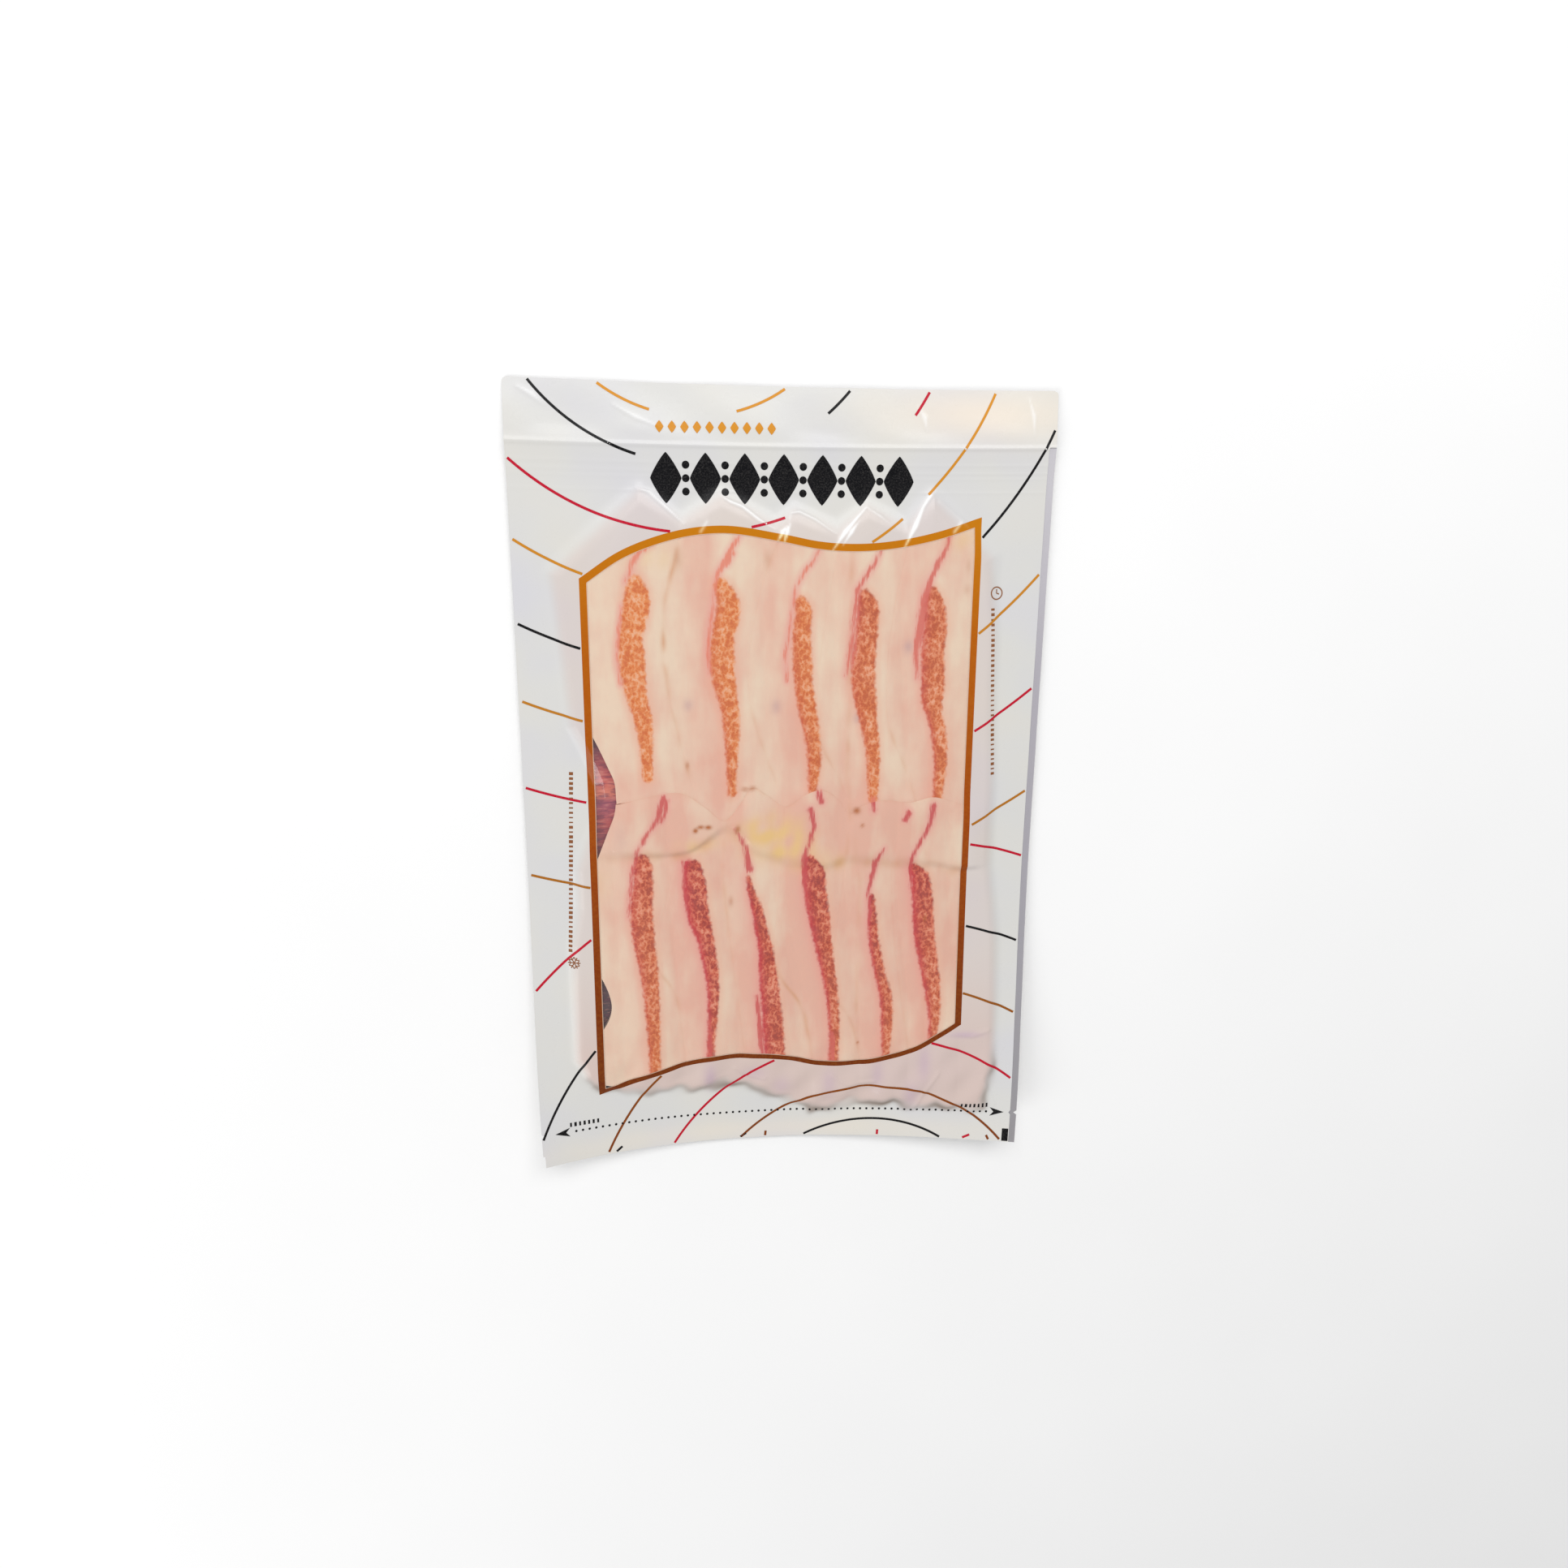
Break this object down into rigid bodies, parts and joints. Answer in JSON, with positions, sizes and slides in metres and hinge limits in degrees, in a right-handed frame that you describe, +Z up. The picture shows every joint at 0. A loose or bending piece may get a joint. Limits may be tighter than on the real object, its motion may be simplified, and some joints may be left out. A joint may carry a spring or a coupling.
{
  "type": "vacuum pack of sliced cured pork jowl",
  "caption": "Flat vacuum pouch with a white printed front and a clear wavy window, holding shingled slices of cured pork jowl marbled with lean.",
  "frame": {"origin": "middle of the pouch's footprint on the surface it lies on", "axes": "+X across the pouch to its right edge, +Y to its top edge with the folded flap, +Z up out of the printed front"},
  "size_m": [0.2, 0.3, 0.0166],
  "materials": {
    "printed_film": "white printed laminate film with a soft gloss",
    "clear_film": "clear barrier film, glossy, drawn tight over the slices",
    "backing_film": "printed back film in mauve greys, soft gloss",
    "cured_jowl": "moist cream and pink fat marbled with orange red lean"
  },
  "bodies": {
    "root": {"sealed_pouch": "printed_film"}
  },
  "joints": []
}
